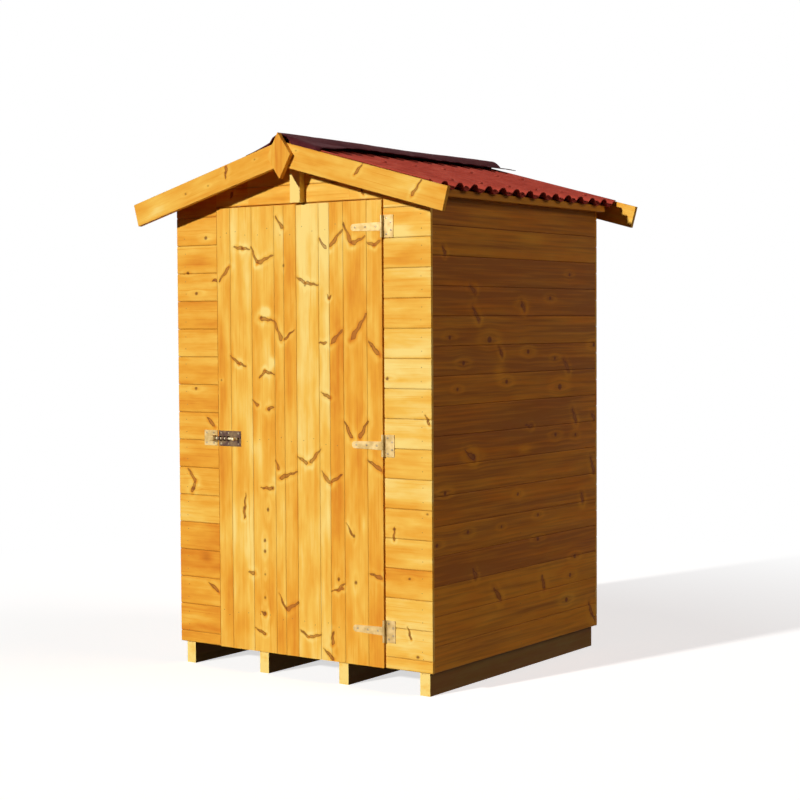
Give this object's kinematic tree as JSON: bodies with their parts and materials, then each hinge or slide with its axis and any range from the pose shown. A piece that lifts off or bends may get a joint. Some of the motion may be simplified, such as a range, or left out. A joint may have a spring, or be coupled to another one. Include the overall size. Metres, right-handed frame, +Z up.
{
  "type": "wooden garden shed",
  "caption": "Small timber garden shed on bearers, with a ledged and braced door, tee hinges, a barrel bolt, bargeboards with finials and a corrugated apex roof.",
  "frame": {"origin": "on the ground, under the centre of the finished outline; the walls are centred 23.5 mm in front of it", "axes": "+X to the right seen from the front, +Y from the door to the back wall, +Z up"},
  "size_m": [1.498, 1.503, 2.0676],
  "materials": {
    "cladding_wood": "honey-orange preservative stain on pine boards, satin",
    "framing_wood": "stained sawn softwood, matt",
    "roof_sheet": "red corrugated bitumen fibre sheet, matt",
    "ridge_cap": "dark burgundy bitumen fibre ridge cap, matt",
    "hardware": "bright zinc plated steel, slightly yellow"
  },
  "bodies": {
    "shed": {"bearer_left": "framing_wood", "bearer_inner_left": "framing_wood", "bearer_inner_right": "framing_wood", "bearer_right": "framing_wood", "floor": "framing_wood", "front_wall_left": "cladding_wood", "front_wall_right": "cladding_wood", "front_gable": "cladding_wood", "left_wall": "cladding_wood", "right_wall": "cladding_wood", "back_wall": "cladding_wood", "front_wall_studs": "framing_wood", "front_wall_rails": "framing_wood", "door_head": "framing_wood", "back_wall_studs": "framing_wood", "back_wall_rails": "framing_wood", "left_wall_studs": "framing_wood", "left_wall_rails": "framing_wood", "right_wall_studs": "framing_wood", "right_wall_rails": "framing_wood", "front_rafters": "framing_wood", "back_rafters": "framing_wood", "ridge_beam": "framing_wood", "purlin_left": "framing_wood", "purlin_right": "framing_wood", "eaves_rail_left": "framing_wood", "eaves_rail_right": "framing_wood", "roof_sheet_left": "roof_sheet", "roof_sheet_right": "roof_sheet", "ridge_cap": "ridge_cap", "front_bargeboard_left": "cladding_wood", "front_bargeboard_right": "cladding_wood", "back_bargeboard_left": "cladding_wood", "back_bargeboard_right": "cladding_wood", "front_finial": "cladding_wood", "back_finial": "cladding_wood", "gable_post": "cladding_wood", "hinge_plates": "hardware", "bolt_keep": "hardware"},
    "door": {"door_leaf": "cladding_wood", "door_ledges": "framing_wood", "door_braces": "framing_wood", "hinge_straps": "hardware", "bolt_plate": "hardware"},
    "bolt": {"bolt": "hardware"}
  },
  "joints": [
    {"name": "door_hinge", "type": "hinge", "parent": "shed", "child": "door", "pos_m": [0.4, -0.6438, 0.906], "axis": [0, 0, 1], "range_deg": [0, 110]},
    {"name": "bolt_slide", "type": "slide", "parent": "door", "child": "bolt", "axis": [-1, 0, 0], "range_m": [0, 0.036]}
  ]
}
